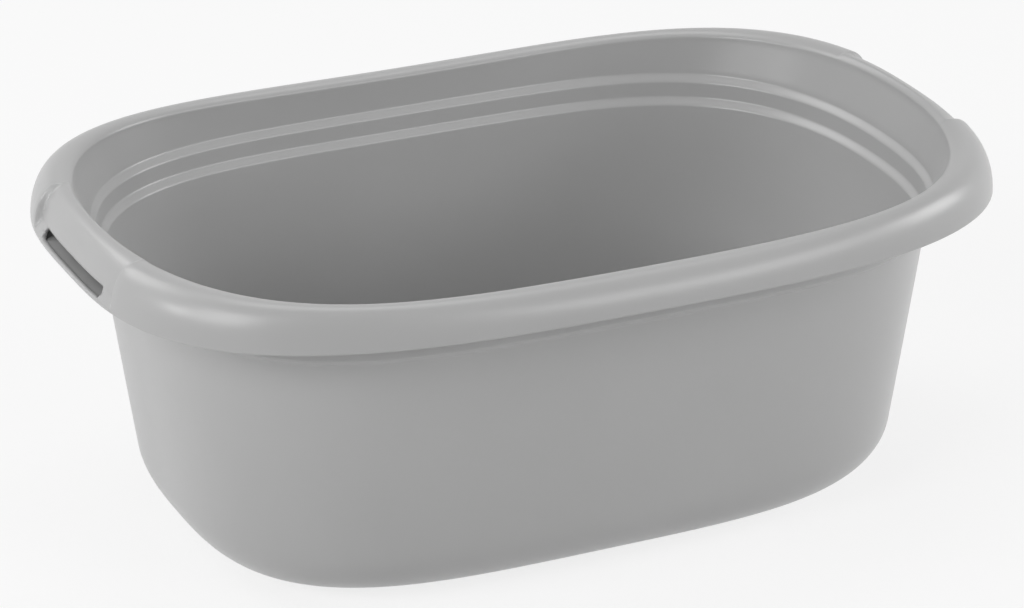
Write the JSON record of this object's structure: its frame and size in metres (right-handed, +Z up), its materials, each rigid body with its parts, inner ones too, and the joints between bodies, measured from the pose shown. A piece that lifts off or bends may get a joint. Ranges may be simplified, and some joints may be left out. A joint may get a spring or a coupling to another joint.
{
  "type": "washing up bowl",
  "caption": "Deep oval washing up bowl in grey plastic with leaning walls, small ledges round the inside and a rolled rim that rises to slotted end grips.",
  "frame": {"origin": "centre of the face that the bowl stands on, under the middle of the bowl", "axes": "+X along the bowl towards the right grip, +Y across it, +Z up out of the bowl"},
  "size_m": [0.4, 0.2714, 0.1528],
  "materials": {
    "bowl_plastic": "satin grey moulded polypropylene"
  },
  "bodies": {
    "root": {"foot_ring": "bowl_plastic", "floor_panel": "bowl_plastic", "front_left_bottom": "bowl_plastic", "front_right_bottom": "bowl_plastic", "back_left_bottom": "bowl_plastic", "back_right_bottom": "bowl_plastic", "front_left_heel": "bowl_plastic", "front_right_heel": "bowl_plastic", "back_left_heel": "bowl_plastic", "back_right_heel": "bowl_plastic", "front_left_wall": "bowl_plastic", "front_right_wall": "bowl_plastic", "back_left_wall": "bowl_plastic", "back_right_wall": "bowl_plastic", "front_left_ledges": "bowl_plastic", "front_right_ledges": "bowl_plastic", "back_left_ledges": "bowl_plastic", "back_right_ledges": "bowl_plastic", "front_left_collar": "bowl_plastic", "front_right_collar": "bowl_plastic", "back_left_collar": "bowl_plastic", "back_right_collar": "bowl_plastic", "front_left_rim": "bowl_plastic", "front_right_rim": "bowl_plastic", "back_left_rim": "bowl_plastic", "back_right_rim": "bowl_plastic", "front_left_skirt": "bowl_plastic", "front_right_skirt": "bowl_plastic", "back_left_skirt": "bowl_plastic", "back_right_skirt": "bowl_plastic", "left_grip_rim": "bowl_plastic", "right_grip_rim": "bowl_plastic", "left_grip_face": "bowl_plastic", "right_grip_face": "bowl_plastic", "left_grip_strip": "bowl_plastic", "right_grip_strip": "bowl_plastic", "left_grip_web": "bowl_plastic", "right_grip_web": "bowl_plastic"}
  },
  "joints": []
}
